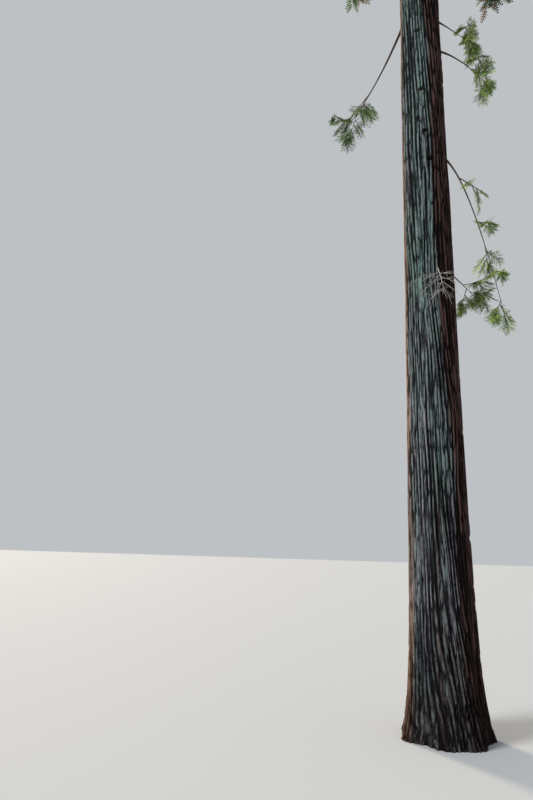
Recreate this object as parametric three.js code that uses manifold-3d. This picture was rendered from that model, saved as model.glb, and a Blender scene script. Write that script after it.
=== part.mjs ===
// A tall forest redwood: a plumb, fluted trunk that is bare for two fifths of its
// height, a narrow crown of boughs that each end in a mass of needle sprays, a few
// slender low boughs and a tangle of dead twigs on the bare shaft.
// Millimetres, +Z up. The origin is the centre of the flat cut at ground level.
import * as THREE from "three";
import { mergeVertices } from "three/addons/utils/BufferGeometryUtils.js";
import Module from "manifold-3d";

const wasm = await Module();
wasm.setup();
const { Manifold, Mesh } = wasm;
const { degToRad } = THREE.MathUtils;

// The real tree is scaled evenly down to HEIGHT.
const HEIGHT = 40000;
const REAL_HEIGHT = 76000;
const SCALE = HEIGHT / REAL_HEIGHT;

// Trunk: a shaft that tapers, the swell of the butt and the flare of the roots, with
// shallow flutes and a few broad lobes round it.
const SHAFT_DIAMETER = 1750 * SCALE;
const TAPER_LOW = 0.5;
const TAPER_GAIN = 0.35;
const BUTT_SWELL = 360 * SCALE;
const BUTT_HEIGHT = 4500 * SCALE;
const ROOT_FLARE = 380 * SCALE;
const FLARE_HEIGHT = 700 * SCALE;
const FLUTES = 7;
const FLUTE_TURN = 0.9;
const LOBES = 4;
const LOBE_SHARE = 0.6;
const LOBE_TURN = -0.4;
const FLUTE_DEPTH = 0.05;
const FLUTE_REST = 0.012;
const FLUTE_HEIGHT = 3200 * SCALE;
const TRUNK_TOP = 38000;
const TRUNK_SIDES = 26;
const TRUNK_ROWS = 16;
const ROW_CROWDING = 1.6;

// Crown: its limbs stand a golden angle apart, each in the middle of a sector and a
// storey of its own, which the limb STOREY_STEPS further up would be the first to meet.
const GOLDEN_ANGLE = Math.PI * (3 - Math.sqrt(5));
const GOLDEN_SHARE = (Math.sqrt(5) - 1) / 2;
const CROWN_BASE = 16300;
const CROWN_LAST = 37200;
const CROWN_LIMBS = 29;
const CROWN_CROWDING = 1.3;
const CROWN_RADIUS = 3950;
const CROWN_POINT = 0.62;
const CROWN_FOOT = 0.72;
const FOOT_HEIGHT = 0.2;
const LIMB_VARIES = [0.84, 1.04];
const RISE_LOW = -0.02;
const RISE_HIGH = 0.93;
const RISE_BEND = 1.4;
const FALL_LOW = 0.5;
const FALL_HIGH = 0.04;
const BOUGH_LIMBS = 17;
const SECTOR = degToRad(42);
const STOREY_STEPS = 3;
const STOREY_SHARE = 0.49;
const SPACE_MARGIN = 12;
const TRUNK_MARGIN = 36;

// Limbs and twigs: shares are of the limb's length or of its own thickness.
const CLEARANCE = 0.3;
const ROOT_DEPTH = 0.8;
const LIMB_THICKNESS = 0.013;
const LIMB_LEAST = 6;
const LIMB_TIP = 0.25;
const COLLAR_SWELL = 0.5;
const COLLAR_LENGTH = 0.06;
const BARE_SHARE = 0.22;
const STEM_END = 0.64;
const BOUGH_SIDES = 5;
const BOUGH_ROWS = 2;
const STEM_SIDES = 4;
const STEM_ROWS = 3;
const TWIG_SIDES = 3;
const TWIG_LEAN = degToRad(56);
const TILT_DOWN = -1.25;
const TILT_UP = 0.95;
const TWIG_SHARE = 0.4;
const TWIG_LEAST = 4;
const TWIG_LONG = 0.42;
const TWIG_SHORT = 0.18;
const TWIG_VARIES = [0.8, 1.15];
const FIRST_TWIG = 0.08;
const LAST_TWIG = 0.94;
const FEW_TWIGS = 3.6;
const MANY_TWIGS = 6.6;
const SHRINK = 0.88;
const SHORTEST = 0.3;

// Sprays of needles: shares are of a spray's length.
const SPRAY_WIDTH = 0.7;
const SPRAY_THICKNESS = 0.07;
const TEETH = 2;
const TOOTH_START = 0.46;
const TOOTH_STEP = 0.3;
const TOOTH_SHIFT = 0.05;
const TOOTH_LEAST = 0.2;
const NOTCH = 0.5;
const SPRAY_LEAN = degToRad(58);
const SPRAY_DROOP = 0.45;
const SPRAY_ROLL = 1.2;
const SPRAY_VARIES = [0.85, 1.1];
const SIDE_SPRAY = 0.43;
const LAST_SPRAY = 0.75;
const END_SPRAY = 0.96;
const CROWN_SPRAY = 0.4;
const SPRAY_LEAST = 400;

// Slender boughs on the bare shaft, with angles in degrees round the trunk from +X:
// a long one that hangs on one side, and four on the other. The dead limb has twigs only.
const LOW_LIMBS = [
  { height: 13000, angle: 164, length: 1500, rise: -2.6, fall: -0.9, storey: 1300 },
  { height: 12950, angle: -12, length: 850, rise: -0.9, fall: 0.2, storey: 320 },
  { height: 12250, angle: -5, length: 1150, rise: -0.3, fall: 0.75, storey: 380 },
  { height: 9780, angle: -32, length: 1200, rise: -1.1, fall: 3.4, storey: 1500 },
  { height: 7680, angle: 24, length: 950, rise: -0.45, fall: 0.2, storey: 380 },
];
const DEAD_LIMB = { height: 7520, angle: -85, length: 400, rise: -1.1, fall: 1.3, storey: 620 };
const LOW_SECTOR = degToRad(28);
const DEAD_SECTOR = degToRad(40);
const LOW_BARE = 0.4;
const LOW_STEM_END = 0.78;
const LOW_SPREAD = 1.3;
const LOW_TWIGS = 4;
const LOW_SPRAY = 430;
const DEAD_SPREAD = 3;
const DEAD_TWIGS = 9;

// Leader: the last of the crown, which stands on the trunk's cut tip.
const LEADER_FOOT = 0.16;
const LEADER_REACH = 850;
const LEADER_POINT = 1.2;
const LEADER_TIP = 0.2;
const LEADER_TWIGS = 7;
const LEADER_SPRAY = 815;

// Seeded draws: the steps between two draws, the first number of each kind of draw
// and the seeds of the masses.
const DRAW_STEPS = [12.9898, 78.233, 4.1];
const DRAW_SPREAD = 43758.5453;
const LENGTH_DRAW = 1;
const TILT_DRAW = 10;
const TWIG_DRAW = 40;
const END_DRAW = 90;
const SEED_STEP = 100;
const TWIG_STEP = 7;
const LEADER_SEED = 60;
const LOW_SEED = 77;
const DEAD_SEED = 90;

const UP = new THREE.Vector3(0, 0, 1);
const UPRIGHT = 0.05;
const WELD = 1e-3;

// The same number from 0 to 1 for the same pair of numbers.
function chance(i, k) {
  const [iStep, kStep, first] = DRAW_STEPS;
  const wave = Math.sin(i * iStep + k * kStep + first) * DRAW_SPREAD;
  return wave - Math.floor(wave);
}

function between(low, high, share) {
  return low + (high - low) * share;
}

// A number drawn between the two of a pair.
function varied([low, high], i, k) {
  return between(low, high, chance(i, k));
}

// A level direction across a heading, or along +X where the heading is upright.
function sideways(heading) {
  const across = new THREE.Vector3().crossVectors(heading, UP);
  return across.length() > UPRIGHT ? across.normalize() : new THREE.Vector3(1, 0, 0);
}

// The heading that leaves another one by a lean, at a roll about it.
function leaning(heading, lean, roll) {
  const side = sideways(heading).applyAxisAngle(heading, roll);
  return heading.clone().multiplyScalar(Math.cos(lean)).addScaledVector(side, Math.sin(lean));
}

function trunkRadius(angle, z) {
  const t = z / HEIGHT;
  const shaft = SHAFT_DIAMETER * Math.pow(1 - t, TAPER_LOW + TAPER_GAIN * t * t);
  const swell = BUTT_SWELL * Math.exp(-z / BUTT_HEIGHT);
  const flare = ROOT_FLARE * Math.exp(-z / FLARE_HEIGHT);
  const depth = FLUTE_REST + FLUTE_DEPTH * Math.exp(-z / FLUTE_HEIGHT);
  const flute = Math.cos(FLUTES * angle + FLUTE_TURN);
  const lobe = LOBE_SHARE * Math.cos(LOBES * angle + LOBE_TURN);
  return ((shaft + swell + flare) / 2) * (1 + depth * (flute + lobe));
}

// A closed geometry made by bending a cylinder: place() takes the share along it, the
// angle round it and 1 on the wall or 0 at the middle of an end, and returns a point.
function bent(sides, rows, place) {
  const geometry = new THREE.CylinderGeometry(1, 1, 1, sides, rows);
  const points = geometry.attributes.position;
  for (let n = 0; n < points.count; n += 1) {
    const x = points.getX(n);
    const z = points.getZ(n);
    const wall = Math.round(Math.hypot(x, z));
    const p = place(points.getY(n) + 0.5, Math.atan2(z, x), wall);
    points.setXYZ(n, p.x, p.y, p.z);
  }
  return geometry;
}

// The manifold-3d solid of a closed geometry, and the geometry of such a solid.
function solid(geometry) {
  geometry.deleteAttribute("normal");
  geometry.deleteAttribute("uv");
  const merged = mergeVertices(geometry, WELD);
  return new Manifold(
    new Mesh({
      numProp: 3,
      vertProperties: new Float32Array(merged.attributes.position.array),
      triVerts: new Uint32Array(merged.index.array),
    }),
  );
}

function geometryOf(made) {
  const mesh = made.getMesh();
  const geometry = new THREE.BufferGeometry();
  geometry.setAttribute("position", new THREE.BufferAttribute(mesh.vertProperties, 3));
  geometry.setIndex(new THREE.BufferAttribute(mesh.triVerts, 1));
  geometry.computeVertexNormals();
  return geometry;
}

// The trunk, or with a gap the slightly fatter one that cuts what stands against it.
function trunkSolid(gap) {
  const geometry = bent(TRUNK_SIDES, TRUNK_ROWS, (share, turn, wall) => {
    const z = TRUNK_TOP * Math.pow(share, ROW_CROWDING);
    const r = wall * (trunkRadius(-turn, z) + gap);
    return new THREE.Vector3(r * Math.cos(turn), -r * Math.sin(turn), z);
  });
  return solid(geometry);
}

// A tapering tube along a limb from one share of its length to another.
function tubeSolid(limb, from, to, sides, rows) {
  const geometry = bent(sides, rows, (share, turn, wall) => {
    const place = between(from, to, share);
    const { point, heading } = limb.at(place);
    const side = sideways(heading);
    const over = new THREE.Vector3().crossVectors(side, heading);
    const r = wall * limb.radius(place);
    return point
      .addScaledVector(side, r * Math.cos(turn))
      .addScaledVector(over, r * Math.sin(turn));
  });
  return solid(geometry);
}

// How far the crown reaches from the trunk's axis at a height.
function crownReach(z) {
  const t = (z - CROWN_BASE) / (HEIGHT - CROWN_BASE);
  const foot = between(CROWN_FOOT, 1, Math.min(1, t / FOOT_HEIGHT));
  return CROWN_RADIUS * Math.pow(1 - t, CROWN_POINT) * foot;
}

// A limb runs out along its angle, rising and then falling away towards its tip.
class Limb {
  constructor(sizes) {
    Object.assign(this, sizes);
    this.out = new THREE.Vector3(Math.cos(this.angle), Math.sin(this.angle), 0);
    const wall = trunkRadius(this.angle, this.height);
    this.start = wall * ROOT_DEPTH;
    this.clear = (wall - this.start + TRUNK_MARGIN) / this.length;
    this.thickness = LIMB_THICKNESS * this.length + LIMB_LEAST;
  }

  lift(u) {
    return this.rise * u - (this.fall * u * u) / this.length;
  }

  // Point and heading at a share of the limb's length.
  at(share) {
    const u = share * this.length;
    const slope = this.rise - (2 * this.fall * u) / this.length;
    const point = this.out.clone().multiplyScalar(this.start + u);
    point.z = this.height + this.lift(u);
    return { point, heading: this.out.clone().addScaledVector(UP, slope).normalize() };
  }

  radius(share) {
    const collar = 1 + COLLAR_SWELL * Math.exp(-share / COLLAR_LENGTH);
    return this.thickness * collar * between(1, LIMB_TIP, share);
  }

  // Twigs leave by turns to the two sides, more of them tilted down than up.
  roll(j, share) {
    const tilt = between(TILT_DOWN, TILT_UP, share);
    return j % 2 ? Math.PI - tilt : tilt;
  }

  // True where a point lies in the sector and storey that this limb's foliage keeps to.
  holds(p) {
    const r = Math.hypot(p.x, p.y);
    const ahead = p.x * this.out.x + p.y * this.out.y;
    const turn = Math.atan2(p.y * this.out.x - p.x * this.out.y, ahead);
    const aside = r * (this.sector - Math.abs(turn));
    const away = Math.abs(p.z - this.height - this.lift(r - this.start));
    const clear = trunkRadius(this.angle + turn, p.z) + TRUNK_MARGIN;
    const level = p.z < between(TRUNK_TOP, HEIGHT, LEADER_FOOT) - SPACE_MARGIN;
    const inReach = r > clear && r < this.start + this.length;
    return inReach && level && aside > SPACE_MARGIN && away < this.storey - SPACE_MARGIN;
  }
}

class Leader {
  constructor() {
    this.foot = TRUNK_TOP + CLEARANCE;
    this.length = HEIGHT - this.foot;
    this.bare = 0;
    this.clear = LEADER_FOOT;
    this.stemEnd = STEM_END;
    this.spread = 1;
    this.thickness = trunkRadius(0, TRUNK_TOP);
  }

  at(share) {
    return { point: new THREE.Vector3(0, 0, this.foot + share * this.length), heading: UP.clone() };
  }

  radius(share) {
    return this.thickness * between(1, LEADER_TIP, share);
  }

  roll(j) {
    return j * GOLDEN_ANGLE;
  }

  // The leader keeps to a cone above the trunk.
  holds(p) {
    const level = (p.z - TRUNK_TOP) / (HEIGHT - TRUNK_TOP);
    const inCone = Math.hypot(p.x, p.y) < LEADER_REACH * (LEADER_POINT - level);
    return inCone && level > LEADER_FOOT && p.z <= HEIGHT;
  }
}

function crownHeight(i) {
  const share = 1 - Math.pow(1 - i / (CROWN_LIMBS - 1), CROWN_CROWDING);
  return between(CROWN_BASE, CROWN_LAST, share);
}

// A crown limb is longer, more level and more bent down the lower it stands.
function crownLimb(i) {
  const height = crownHeight(i);
  const t = (height - CROWN_BASE) / (HEIGHT - CROWN_BASE);
  const lowest = Math.min(i, CROWN_LIMBS - 1 - STOREY_STEPS);
  return new Limb({
    height,
    angle: i * GOLDEN_ANGLE,
    length: crownReach(height) * varied(LIMB_VARIES, i, LENGTH_DRAW),
    rise: between(RISE_LOW, RISE_HIGH, Math.pow(t, RISE_BEND)),
    fall: between(FALL_LOW, FALL_HIGH, t),
    storey: STOREY_SHARE * (crownHeight(lowest + STOREY_STEPS) - crownHeight(lowest)),
    sector: SECTOR,
    bare: i < BOUGH_LIMBS ? BARE_SHARE : 0,
    stemEnd: STEM_END,
    spread: 1,
  });
}

function lowLimb(sizes, sector, bare, spread) {
  const angle = degToRad(sizes.angle);
  return new Limb({ ...sizes, angle, sector, bare, stemEnd: LOW_STEM_END, spread });
}

// The longest of ever shorter lengths at which the limb's space holds all the corners
// that cornersAt() lists for it, or 0 where even the shortest leaves that space.
function fitting(limb, length, cornersAt) {
  for (let tried = length; tried > SHORTEST * length; tried *= SHRINK) {
    if (cornersAt(tried).every((corner) => limb.holds(corner))) return tried;
  }
  return 0;
}

function twigSolid({ root, out, length, radius }) {
  const cone = new THREE.ConeGeometry(radius, length, TWIG_SIDES).translate(0, length / 2, 0);
  const turn = new THREE.Quaternion().setFromUnitVectors(new THREE.Vector3(0, 1, 0), out);
  return solid(cone.applyQuaternion(turn).translate(root.x, root.y, root.z));
}

// Outline of a toothed blade, as shares along and across it: from its root past the
// teeth and notches of one side to its tip, and back past those of the other side.
function bladeOutline() {
  const oneSide = (side) => {
    const points = [];
    for (let k = 0; k < 2 * TEETH - 1; k += 1) {
      const along = TOOTH_START + side * TOOTH_SHIFT + (k / 2) * TOOTH_STEP;
      const across = (1 - along) / 2 + TOOTH_LEAST;
      points.push([along, side * across * (k % 2 ? NOTCH : 1)]);
    }
    return points;
  };
  return [[0, 0], ...oneSide(1), [1, 0], ...oneSide(-1).reverse()];
}

const BLADE = bladeOutline();

// Corners of a spray's outline in space.
function sprayCorners({ root, heading, aside }, length) {
  return BLADE.map(([along, across]) =>
    root
      .clone()
      .addScaledVector(heading, along * length)
      .addScaledVector(aside, across * SPRAY_WIDTH * length),
  );
}

// A spray of needles as a flat toothed blade that is thickest in the middle: a cone
// whose ring is moved to the outline and its two middles to either side of it.
function spraySolid(spray) {
  const corners = sprayCorners(spray, spray.length);
  const face = new THREE.Vector3().crossVectors(spray.aside, spray.heading);
  const middle = spray.root.clone().addScaledVector(spray.heading, spray.length / 2);
  const cone = new THREE.ConeGeometry(1, 1, BLADE.length);
  const points = cone.attributes.position;
  for (let n = 0; n < points.count; n += 1) {
    const turn = Math.atan2(points.getX(n), points.getZ(n)) / (2 * Math.PI);
    const corner = Math.round((turn + 1) * BLADE.length) % BLADE.length;
    const onRing = Math.hypot(points.getX(n), points.getZ(n)) > 0.5;
    const lift = points.getY(n) * SPRAY_THICKNESS * spray.length;
    const p = onRing ? corners[corner] : middle.clone().addScaledVector(face, lift);
    points.setXYZ(n, p.x, p.y, p.z);
  }
  return solid(cone);
}

// Twigs leave a limb's stem by turns and get shorter towards its end.
function twigsOf(limb, seed, count) {
  const first = Math.max(limb.bare, limb.clear);
  const twigs = [];
  for (let j = 0; j < count; j += 1) {
    const progress = (j + 0.5) / count;
    const share = between(first, limb.stemEnd, between(FIRST_TWIG, LAST_TWIG, progress));
    const { point: root, heading } = limb.at(share);
    const tilt = (chance(seed, TILT_DRAW) + j * GOLDEN_SHARE) % 1;
    const out = leaning(heading, TWIG_LEAN, limb.roll(j, tilt));
    const tipAt = (length) => [root.clone().addScaledVector(out, length)];
    const usual = limb.length * limb.spread * between(TWIG_LONG, TWIG_SHORT, progress);
    const wanted = usual * varied(TWIG_VARIES, seed, TWIG_DRAW + j);
    const length = fitting(limb, wanted, tipAt);
    const radius = limb.radius(share) * TWIG_SHARE + TWIG_LEAST;
    if (length) twigs.push({ root, out, length, radius });
  }
  return twigs;
}

// A spray at a root that heads out from it and hangs a little, or nothing where the
// limb's space has no room for it.
function fittedSpray(limb, root, out, seed, k, size) {
  const heading = out.clone().addScaledVector(UP, -SPRAY_DROOP).normalize();
  const roll = between(-SPRAY_ROLL, SPRAY_ROLL, chance(seed, k));
  const aside = sideways(heading).applyAxisAngle(heading, roll);
  const wanted = size * varied(SPRAY_VARIES, seed, k + 0.5);
  const length = fitting(limb, wanted, (tried) => sprayCorners({ root, heading, aside }, tried));
  return length ? [{ root, heading, aside, length }] : [];
}

// One spray leaves each twig at its side, and another one carries it on.
function spraysOf(limb, twig, seed, size) {
  const at = (share) => twig.root.clone().addScaledVector(twig.out, twig.length * share);
  const side = leaning(twig.out, SPRAY_LEAN, seed % 2 ? Math.PI : 0);
  return [
    ...fittedSpray(limb, at(SIDE_SPRAY), side, seed, 0, size),
    ...fittedSpray(limb, at(LAST_SPRAY), twig.out, seed, 1, size),
  ];
}

// The share at which a mass's stem starts, clear of the end of its bough.
function footOf(limb) {
  if (!limb.bare) return 0;
  const level = limb.at(limb.bare).heading.dot(limb.out);
  return limb.bare + (CLEARANCE * level) / limb.length;
}

// A mass of foliage: a stem that carries on from the bough or the trunk, with twigs
// and their sprays. What would leave the limb's own space is shortened or skipped.
function massGeometry(limb, seed, count, size) {
  const stem = tubeSolid(limb, footOf(limb), limb.stemEnd, STEM_SIDES, STEM_ROWS);
  const twigs = twigsOf(limb, seed, count);
  const pieces = [stem.subtract(trunkRoom), ...twigs.map(twigSolid)];
  if (size) {
    const end = limb.at(END_SPRAY * limb.stemEnd);
    const sprays = fittedSpray(limb, end.point, end.heading, SEED_STEP * seed + END_DRAW, 0, size);
    twigs.forEach((twig, j) => {
      sprays.push(...spraysOf(limb, twig, SEED_STEP * seed + TWIG_STEP * j, size));
    });
    pieces.push(...sprays.map(spraySolid));
  }
  return geometryOf(Manifold.union(pieces));
}

const bark = new THREE.MeshStandardMaterial({ color: 0x6f6258, roughness: 0.95, metalness: 0 });
const limbBark = new THREE.MeshStandardMaterial({ color: 0x54453a, roughness: 0.95, metalness: 0 });
const needles = new THREE.MeshStandardMaterial({ color: 0x4c6a2f, roughness: 0.7, metalness: 0 });
const deadWood = new THREE.MeshStandardMaterial({ color: 0xa69c8e, roughness: 0.95, metalness: 0 });

const tree = new THREE.Group();
const trunkRoom = trunkSolid(CLEARANCE);

function addNode(name, geometry, material) {
  const mesh = new THREE.Mesh(geometry, material);
  mesh.name = name;
  tree.add(mesh);
}

// A bough from the trunk to where it enters its mass of foliage.
function addBough(name, limb) {
  const bough = tubeSolid(limb, 0, limb.bare, BOUGH_SIDES, BOUGH_ROWS).subtract(trunkRoom);
  addNode(name, geometryOf(bough), limbBark);
}

function addCrown() {
  for (let i = 0; i < CROWN_LIMBS; i += 1) {
    const limb = crownLimb(i);
    const label = String(i + 1).padStart(2, "0");
    if (limb.bare) addBough(`bough_${label}`, limb);
    const twigs = Math.round(between(FEW_TWIGS, MANY_TWIGS, limb.length / CROWN_RADIUS));
    const size = CROWN_SPRAY * limb.length + SPRAY_LEAST;
    addNode(`foliage_${label}`, massGeometry(limb, i, twigs, size), needles);
  }
  const leader = massGeometry(new Leader(), LEADER_SEED, LEADER_TWIGS, LEADER_SPRAY);
  addNode("leader", leader, needles);
}

function addLowBoughs() {
  LOW_LIMBS.forEach((sizes, i) => {
    const limb = lowLimb(sizes, LOW_SECTOR, LOW_BARE, LOW_SPREAD);
    addBough(`low_bough_${i + 1}`, limb);
    const mass = massGeometry(limb, LOW_SEED + i, LOW_TWIGS, LOW_SPRAY);
    addNode(`low_foliage_${i + 1}`, mass, needles);
  });
  const dead = lowLimb(DEAD_LIMB, DEAD_SECTOR, 0, DEAD_SPREAD);
  addNode("dead_twigs", massGeometry(dead, DEAD_SEED, DEAD_TWIGS, 0), deadWood);
}

addNode("trunk", geometryOf(trunkSolid(0)), bark);
addCrown();
addLowBoughs();

export default tree;
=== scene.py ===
import math

import bpy
import numpy as np
from mathutils import Matrix, Vector


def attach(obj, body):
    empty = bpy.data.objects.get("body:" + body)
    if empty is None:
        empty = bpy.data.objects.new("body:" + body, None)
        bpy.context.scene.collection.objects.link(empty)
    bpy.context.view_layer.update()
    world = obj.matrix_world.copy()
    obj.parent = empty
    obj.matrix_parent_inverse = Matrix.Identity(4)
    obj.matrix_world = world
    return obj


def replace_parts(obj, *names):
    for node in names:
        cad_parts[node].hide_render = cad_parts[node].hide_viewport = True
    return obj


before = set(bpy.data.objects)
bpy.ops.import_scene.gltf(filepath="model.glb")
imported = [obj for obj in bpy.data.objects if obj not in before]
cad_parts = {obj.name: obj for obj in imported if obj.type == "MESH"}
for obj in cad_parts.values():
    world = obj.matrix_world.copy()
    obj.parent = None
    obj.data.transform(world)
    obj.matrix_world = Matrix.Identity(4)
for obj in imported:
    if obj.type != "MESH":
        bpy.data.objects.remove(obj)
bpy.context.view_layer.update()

# The tree's own sizes, in metres, as in the part's source.
HEIGHT = 40.0
SCALE = HEIGHT / 76.0
SHAFT_DIAMETER = 1.75 * SCALE
TAPER_LOW = 0.5
TAPER_GAIN = 0.35
BUTT_SWELL = 0.36 * SCALE
BUTT_HEIGHT = 4.5 * SCALE
ROOT_FLARE = 0.38 * SCALE
FLARE_HEIGHT = 0.7 * SCALE
FLUTES = 7
FLUTE_TURN = 0.9
LOBES = 4
LOBE_SHARE = 0.6
LOBE_TURN = -0.4
FLUTE_DEPTH = 0.05
FLUTE_REST = 0.012
FLUTE_HEIGHT = 3.2 * SCALE
TRUNK_TOP = 38.0

# Crown limbs.
GOLDEN_ANGLE = math.pi * (3 - math.sqrt(5))
GOLDEN_SHARE = (math.sqrt(5) - 1) / 2
CROWN_BASE = 16.3
CROWN_LAST = 37.2
CROWN_LIMBS = 29
CROWN_CROWDING = 1.3
CROWN_RADIUS = 3.95
CROWN_POINT = 0.62
CROWN_FOOT = 0.72
FOOT_HEIGHT = 0.2
LIMB_VARIES = (0.84, 1.04)
RISE_LOW = -0.02
RISE_HIGH = 0.93
RISE_BEND = 1.4
FALL_LOW = 0.5
FALL_HIGH = 0.04
BOUGH_LIMBS = 17
SECTOR = math.radians(42)
STOREY_STEPS = 3
STOREY_SHARE = 0.49
SPACE_MARGIN = 0.012
TRUNK_MARGIN = 0.036

# Limbs, twigs and sprays of the part's source.
ROOT_DEPTH = 0.8
LIMB_THICKNESS = 0.013
LIMB_LEAST = 0.006
LIMB_TIP = 0.25
COLLAR_SWELL = 0.5
COLLAR_LENGTH = 0.06
BARE_SHARE = 0.22
STEM_END = 0.64
TWIG_LEAN = math.radians(56)
TILT_DOWN = -1.25
TILT_UP = 0.95
TWIG_SHARE = 0.4
TWIG_LEAST = 0.004
TWIG_LONG = 0.42
TWIG_SHORT = 0.18
TWIG_VARIES = (0.8, 1.15)
FIRST_TWIG = 0.08
LAST_TWIG = 0.94
FEW_TWIGS = 3.6
MANY_TWIGS = 6.6
SHRINK = 0.88
SHORTEST = 0.3
SPRAY_WIDTH = 0.7
TEETH = 2
TOOTH_START = 0.46
TOOTH_STEP = 0.3
TOOTH_SHIFT = 0.05
TOOTH_LEAST = 0.2
NOTCH = 0.5
SPRAY_LEAN = math.radians(58)
SPRAY_DROOP = 0.45
SPRAY_ROLL = 1.2
SPRAY_VARIES = (0.85, 1.1)
SIDE_SPRAY = 0.43
LAST_SPRAY = 0.75
END_SPRAY = 0.96
CROWN_SPRAY = 0.4
SPRAY_LEAST = 0.4

LOW_LIMBS = [
    dict(height=13.0, angle=164, length=1.5, rise=-2.6, fall=-0.9, storey=1.3),
    dict(height=12.95, angle=-12, length=0.85, rise=-0.9, fall=0.2, storey=0.32),
    dict(height=12.25, angle=-5, length=1.15, rise=-0.3, fall=0.75, storey=0.38),
    dict(height=9.78, angle=-32, length=1.2, rise=-1.1, fall=3.4, storey=1.5),
    dict(height=7.68, angle=24, length=0.95, rise=-0.45, fall=0.2, storey=0.38),
]
DEAD_LIMB = dict(height=7.52, angle=-85, length=0.4, rise=-1.1, fall=1.3, storey=0.62)
LOW_SECTOR = math.radians(28)
DEAD_SECTOR = math.radians(40)
LOW_BARE = 0.4
LOW_STEM_END = 0.78
LOW_SPREAD = 1.3
LOW_TWIGS = 4
LOW_SPRAY = 0.43
FURTHER_SHARES = (0.25, 0.6, 0.9)
FURTHER_TWIGS = 3
DEAD_SPREAD = 3
DEAD_TWIGS = 9
LEADER_FOOT = 0.16
LEADER_REACH = 0.85
LEADER_POINT = 1.2
LEADER_TIP = 0.2
LEADER_TWIGS = 7
LEADER_SPRAY = 0.815

# Seeded draws, as in the part's source.
DRAW_STEPS = (12.9898, 78.233, 4.1)
DRAW_SPREAD = 43758.5453
LENGTH_DRAW = 1
TILT_DRAW = 10
TWIG_DRAW = 40
END_DRAW = 90
SEED_STEP = 100
TWIG_STEP = 7
LEADER_SEED = 60
LOW_SEED = 77
DEAD_SEED = 90
FURTHER_SEED = 200
FURTHER_DRAW = 2

# Bark: furrows that run up the trunk, join and part, and strands on the ridges between.
TRUNK_COLUMNS = 400
ROW_LOW = 0.05
ROW_HIGH = 0.3
FINE_HEIGHT = 14.5
SECTION_HEIGHTS = (2.5, 5.5, 8.5, 11.5, 14.5)
RIDGE_COUNTS = (50, 44, 38)
RIDGE_CHANGES = (2.2, 7.0)
RIDGE_MIX = 1.6
RIDGE_TURN = 1.3
RIDGE_TURN_HEIGHT = 10.0
BROAD_SWAY = 0.16
BROAD_CELLS = dict(cells=6, length=2.6, seed=3)
FINE_SWAY = 0.085
FINE_CELLS = dict(cells=15, length=1.2, seed=4)
CUT_CELLS = dict(width=0.11, length=1.2, seed=1)
SPLIT_CELLS = dict(width=0.05, length=0.8, seed=6)
STRAND_CELLS = dict(width=0.03, length=0.34, seed=2)
# What a ridge is made of, and the levels where a furrow ends and its crest starts.
WAVE_SHARE = 0.7
CUT_SHARE = 0.35
SPLIT_SHARE = 0.75
FURROW_LEVEL = -0.95
CREST_LEVEL = 0.3
STRAND_LEAST = 0.3
STRAND_FULL = 0.35
# How deep the bark's relief is, with more of it at the foot and less towards the tip.
RELIEF_DEPTH = 0.026
RELIEF_BASE = 0.020
RELIEF_FADE = 3.0
RELIEF_MIDDLE = 0.7
RELIEF_LEAST = 0.2
RELIEF_TAPER = 14.0
LUMP_HEIGHT = 0.012
LUMP_CELLS = dict(cells=9, length=0.9, seed=21)
# The young bark near the tip is smooth and bare, like the boughs'.
YOUNG_START = 32.0
# Angle in degrees, height and half width of each knot.
KNOTS = [
    (268, 9.56, 0.08),
    (258, 10.15, 0.06),
    (241, 10.43, 0.06),
    (252, 11.06, 0.065),
    (247, 12.41, 0.06),
    (300, 12.0, 0.055),
    (30, 9.1, 0.075),
    (75, 11.6, 0.06),
    (110, 7.2, 0.08),
]
KNOT_HEIGHT = 0.62
KNOT_DEPTH = 0.03
KNOT_RIM = 0.015
KNOT_RIM_LEVEL = 0.45
KNOT_RIM_WIDTH = 0.22
KNOT_DARKNESS = 0.9
KNOT_DARK_LEVELS = (0.4, 0.8)
# Lichen covers one side of the trunk. Low down it is greyer and reaches further round,
# and near the foot it is thin past a strip that is almost bare.
LICHEN_START = math.radians(192)
LICHEN_FOOT_START = math.radians(203)
LICHEN_END = math.radians(269)
LICHEN_LOW_END = math.radians(289)
LICHEN_LOW_HEIGHTS = (4.5, 8.0)
LICHEN_EDGE = math.radians(7)
LICHEN_RAGGED = 0.16
LICHEN_CELLS = dict(cells=24, length=1.2, seed=33)
LICHEN_FOOT = (-1.6, 2.2)
FOOT_RAGGED = 4
STRIP_HEIGHTS = (3.0, 4.6)
STRIP_ANGLE = math.radians(251)
STRIP_WIDTH = math.radians(7)
STRIP_SHARE = 0.5
THIN_START = math.radians(246)
THIN_SHARE = 0.25
PATCH_SHARE = 0.3
PATCH_LEVELS = (0.1, 0.6)
PATCH_CELLS = dict(cells=6, length=3.0, seed=31)
GREY_LOW = 0.62
GREY_HIGH = 0.25
# The foot is darker than the rest.
SHADE_LEAST = 0.72
SHADE_HEIGHT = 2.6
# Painted sunlight: the side the rim sun lights is painted a lighter cinnamon brown than the rest of
# the wood.
PAINTED_SUN_MIDDLE = math.radians(125)
PAINTED_SUN_SPREAD = math.radians(75)
PAINTED_SUN_SHARPNESS = 4
PAINTED_SUN_RAGGED = 0.2
PAINTED_SUN_CELLS = dict(cells=16, length=1.4, seed=37)

# Mesh of the limbs and twigs: rings along them, sides round them, and how they thin out.
LIMB_ROWS = 26
LIMB_SIDES = 10
LIMB_END = 0.45
LIMB_BUMPS = 0.22
BUMP_CELLS = dict(cells=9, length=0.16)
TWIG_ROWS = 6
TWIG_SIDES = 5
TWIG_END = 0.3
TWIG_DROOP = 0.05
LEADER_ROWS = 16
LEADER_SIDES = 12
LEADER_END = 0.9
LEADER_BUMPS = 0.03
# How far a limb runs on past the end of its stem in the solids, as a share of its length.
RUN_ON = 0.12
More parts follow.
